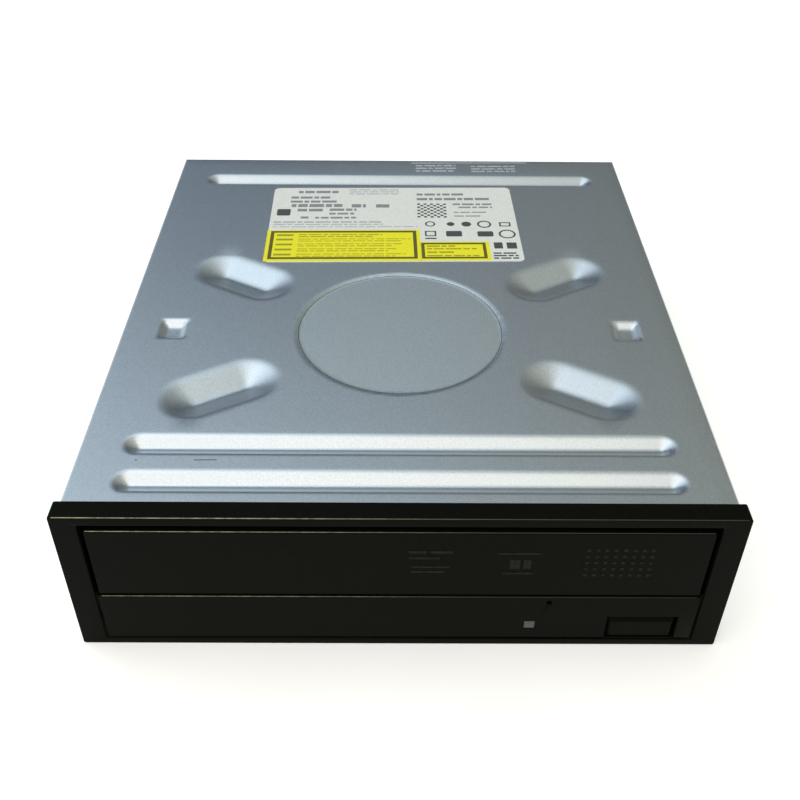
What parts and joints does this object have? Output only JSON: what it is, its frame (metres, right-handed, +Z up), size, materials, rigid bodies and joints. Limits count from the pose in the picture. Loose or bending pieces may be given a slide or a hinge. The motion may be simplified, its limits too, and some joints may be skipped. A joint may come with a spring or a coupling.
{
  "type": "internal dvd writer",
  "caption": "Half-height internal optical disc writer with steel case, sliding disc tray, loader, lifting traverse, pickup sled, clamp, circuit boards and rear connectors.",
  "frame": {"origin": "centre of the bounding box on the lower edge of the bezel", "axes": "+X right seen from the front, +Y to the rear connectors, +Z up through the top cover"},
  "size_m": [0.1486, 0.17, 0.042],
  "materials": {
    "sheet_steel": "zinc-coated sheet, slightly cloudy",
    "machine_steel": "bright turned steel",
    "black_abs": "fine-grained black moulding",
    "grey_abs": "dark grey moulding",
    "white_pom": "white moulded gears",
    "paper": "satin paper sticker",
    "black_rubber": "soft black rubber",
    "green_board": "green solder mask",
    "chip_black": "moulded packages",
    "clear_pipe": "frosted clear moulding",
    "copper_coils": "lacquered copper and board",
    "zinc_cast": "die-cast",
    "lens_glass": "coated plastic lens",
    "cable_white": "flat ribbon film",
    "socket_cream": "cream sockets"
  },
  "bodies": {
    "chassis": {"top_cover": "sheet_steel", "bottom_cover": "sheet_steel", "cover_screws": "machine_steel", "label": "paper", "bezel": "black_abs", "light_pipe": "clear_pipe", "main_frame": "black_abs", "clamp_bridge": "sheet_steel", "bridge_screws": "machine_steel", "load_motor": "zinc_cast", "drive_belt": "black_rubber", "gear_clips": "machine_steel", "main_board": "green_board", "chips": "chip_black", "capacitors": "chip_black", "data_connector": "black_abs", "power_connector": "black_abs", "board_screws": "machine_steel", "front_board": "green_board", "eject_switch": "chip_black", "led": "socket_cream", "flat_cable": "cable_white", "cable_sockets": "socket_cream"},
    "tray": {"disc_tray": "grey_abs", "tray_door": "black_abs"},
    "eject_key": {"eject_button": "black_abs"},
    "motor_shaft": {"motor_pulley": "white_pom"},
    "idler": {"pulley_gear": "white_pom"},
    "driver": {"drive_gear": "white_pom"},
    "cam": {"cam_slider": "white_pom"},
    "clamp": {"clamper": "white_pom", "clamper_plate": "machine_steel"},
    "traverse": {"traverse_holder": "black_abs", "dampers": "black_rubber", "damper_screws": "machine_steel", "mech_plate": "sheet_steel", "spindle_base": "copper_coils", "guide_rod_main": "machine_steel", "guide_rod_second": "machine_steel", "rod_clamps": "black_abs", "sled_motor": "zinc_cast"},
    "rotor": {"spindle_rotor": "machine_steel", "turntable": "black_abs", "turntable_ring": "black_rubber"},
    "screw": {"lead_screw": "machine_steel"},
    "sled": {"pickup_body": "zinc_cast", "pickup_cover": "machine_steel"},
    "focus": {"lens_holder": "chip_black", "lens": "lens_glass"}
  },
  "joints": [
    {"name": "tray_slide", "type": "slide", "parent": "chassis", "child": "tray", "axis": [0, -1, 0], "range_m": [0, 0.128]},
    {"name": "eject_press", "type": "slide", "parent": "chassis", "child": "eject_key", "axis": [0, 1, 0], "range_m": [0, 0.0008], "stiffness_N_per_m": 600},
    {"name": "drive_turn", "type": "hinge", "parent": "chassis", "child": "driver", "pos_m": [-0.048, -0.058, 0.015], "axis": [0, 0, 1], "range_deg": [-2, 918.7]},
    {"name": "pulley_turn", "type": "hinge", "parent": "chassis", "child": "idler", "pos_m": [-0.027, -0.058, 0.015], "axis": [0, 0, 1], "range_deg": [-1835.5, 2]},
    {"name": "motor_turn", "type": "hinge", "parent": "chassis", "child": "motor_shaft", "pos_m": [0.006, -0.06, 0.015], "axis": [0, 0, 1], "range_deg": [-5070.2, 4]},
    {"name": "traverse_lift", "type": "hinge", "parent": "chassis", "child": "traverse", "pos_m": [0, 0.07, 0.0125], "axis": [1, 0, 0], "range_deg": [0, 5]},
    {"name": "cam_slide", "type": "slide", "parent": "chassis", "child": "cam", "axis": [1, 0, 0], "range_m": [-0.0001, 0.0201]},
    {"name": "clamp_turn", "type": "hinge", "parent": "chassis", "child": "clamp", "pos_m": [0, -0.0154, 0.03], "axis": [0, 0, 1], "continuous": true},
    {"name": "spindle_turn", "type": "hinge", "parent": "traverse", "child": "rotor", "pos_m": [0, -0.0154, 0.02], "axis": [0, 0, 1], "continuous": true},
    {"name": "sled_slide", "type": "slide", "parent": "traverse", "child": "sled", "axis": [0, 1, 0], "range_m": [0, 0.0335]},
    {"name": "screw_turn", "type": "hinge", "parent": "traverse", "child": "screw", "pos_m": [0.0355, 0.015, 0.0155], "axis": [0, 1, 0], "range_deg": [-2, 4022]},
    {"name": "lens_focus", "type": "slide", "parent": "sled", "child": "focus", "axis": [0, 0, 1], "range_m": [-0.0006, 0.0008], "stiffness_N_per_m": 40}
  ],
  "couplings": [
    {"joint": "drive_turn", "follows": "tray_slide", "rad_per_m": 125},
    {"joint": "pulley_turn", "follows": "tray_slide", "rad_per_m": -250},
    {"joint": "motor_turn", "follows": "tray_slide", "rad_per_m": -690.79},
    {"joint": "cam_slide", "follows": "traverse_lift", "m_per_rad": 0.22918},
    {"joint": "clamp_turn", "follows": "spindle_turn", "ratio": 1},
    {"joint": "screw_turn", "follows": "sled_slide", "rad_per_m": 2094.4}
  ]
}
